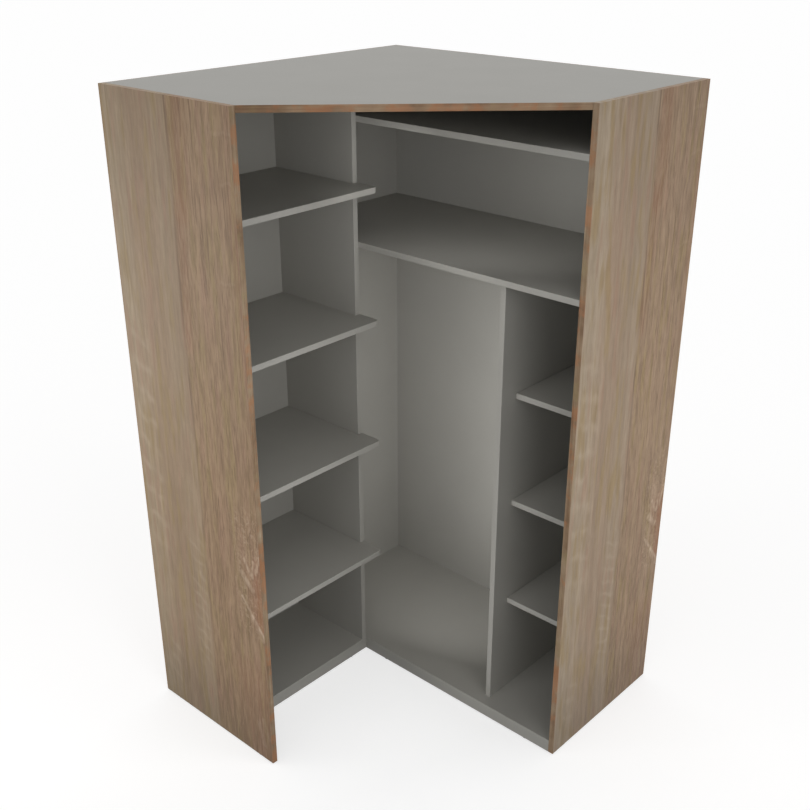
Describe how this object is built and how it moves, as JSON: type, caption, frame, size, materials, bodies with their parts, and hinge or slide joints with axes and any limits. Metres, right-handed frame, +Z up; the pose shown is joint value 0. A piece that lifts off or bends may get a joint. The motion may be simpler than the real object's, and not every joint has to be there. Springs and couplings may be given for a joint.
{
  "type": "corner wardrobe",
  "caption": "Open corner wardrobe with oak-look end panels, a slant-fronted top, grey loose and fixed shelves, upright partitions and a hanging rail.",
  "frame": {"origin": "on the floor, under the middle of the outer box", "axes": "+Z up; the room corner lies towards -X and +Y, the left wall faces -X, the right wall faces +Y, and the open slanted front faces +X and -Y"},
  "size_m": [1.16, 1.16, 2],
  "materials": {
    "oak_board": "matt oak-look foil on chipboard",
    "oak_edge": "oak-look edge band",
    "grey_board": "matt grey melamine on chipboard",
    "grey_back": "grey lacquered hardboard",
    "chrome_rail": "chromed steel",
    "steel": "zinc-plated steel",
    "zinc": "die-cast zinc",
    "beech": "plain beech",
    "glide_plastic": "moulded plastic"
  },
  "bodies": {
    "carcass": {"left_side_panel": "oak_board", "right_side_panel": "oak_board", "left_edge_band": "oak_edge", "right_edge_band": "oak_edge", "top_edge_band": "oak_edge", "top_panel": "grey_board", "left_floor_board": "grey_board", "right_floor_board": "grey_board", "left_front_plinth": "grey_board", "right_front_plinth": "grey_board", "left_rear_plinth": "grey_board", "right_rear_plinth": "grey_board", "corner_partition": "grey_board", "short_partition": "grey_board", "hat_shelf": "grey_board", "upper_shelf": "grey_board", "left_back_panel": "grey_back", "right_back_panel": "grey_back", "rail_socket": "chrome_rail", "rail_hanger": "chrome_rail", "left_shelf_pins": "steel", "small_shelf_pins": "steel", "rail_screws": "steel", "cam_bolts": "steel", "cam_locks": "zinc", "dowels": "beech", "floor_glides": "glide_plastic"},
    "left_shelf_1": {"left_shelf_1": "grey_board"},
    "left_shelf_2": {"left_shelf_2": "grey_board"},
    "left_shelf_3": {"left_shelf_3": "grey_board"},
    "left_shelf_4": {"left_shelf_4": "grey_board"},
    "small_shelf_1": {"small_shelf_1": "grey_board"},
    "small_shelf_2": {"small_shelf_2": "grey_board"},
    "small_shelf_3": {"small_shelf_3": "grey_board"},
    "hanging_rail": {"hanging_rail": "chrome_rail"}
  },
  "joints": [
    {"name": "left_shelf_1_slide", "type": "slide", "parent": "carcass", "child": "left_shelf_1", "axis": [1, 0, 0], "range_m": [0, 0.3]},
    {"name": "left_shelf_2_slide", "type": "slide", "parent": "carcass", "child": "left_shelf_2", "axis": [1, 0, 0], "range_m": [0, 0.3]},
    {"name": "left_shelf_3_slide", "type": "slide", "parent": "carcass", "child": "left_shelf_3", "axis": [1, 0, 0], "range_m": [0, 0.3]},
    {"name": "left_shelf_4_slide", "type": "slide", "parent": "carcass", "child": "left_shelf_4", "axis": [1, 0, 0], "range_m": [0, 0.3]},
    {"name": "small_shelf_1_slide", "type": "slide", "parent": "carcass", "child": "small_shelf_1", "axis": [0, -1, 0], "range_m": [0, 0.3]},
    {"name": "small_shelf_2_slide", "type": "slide", "parent": "carcass", "child": "small_shelf_2", "axis": [0, -1, 0], "range_m": [0, 0.3]},
    {"name": "small_shelf_3_slide", "type": "slide", "parent": "carcass", "child": "small_shelf_3", "axis": [0, -1, 0], "range_m": [0, 0.3]},
    {"name": "hanging_rail_lift", "type": "slide", "parent": "carcass", "child": "hanging_rail", "axis": [0, 0, 1], "range_m": [0, 0.027]}
  ]
}
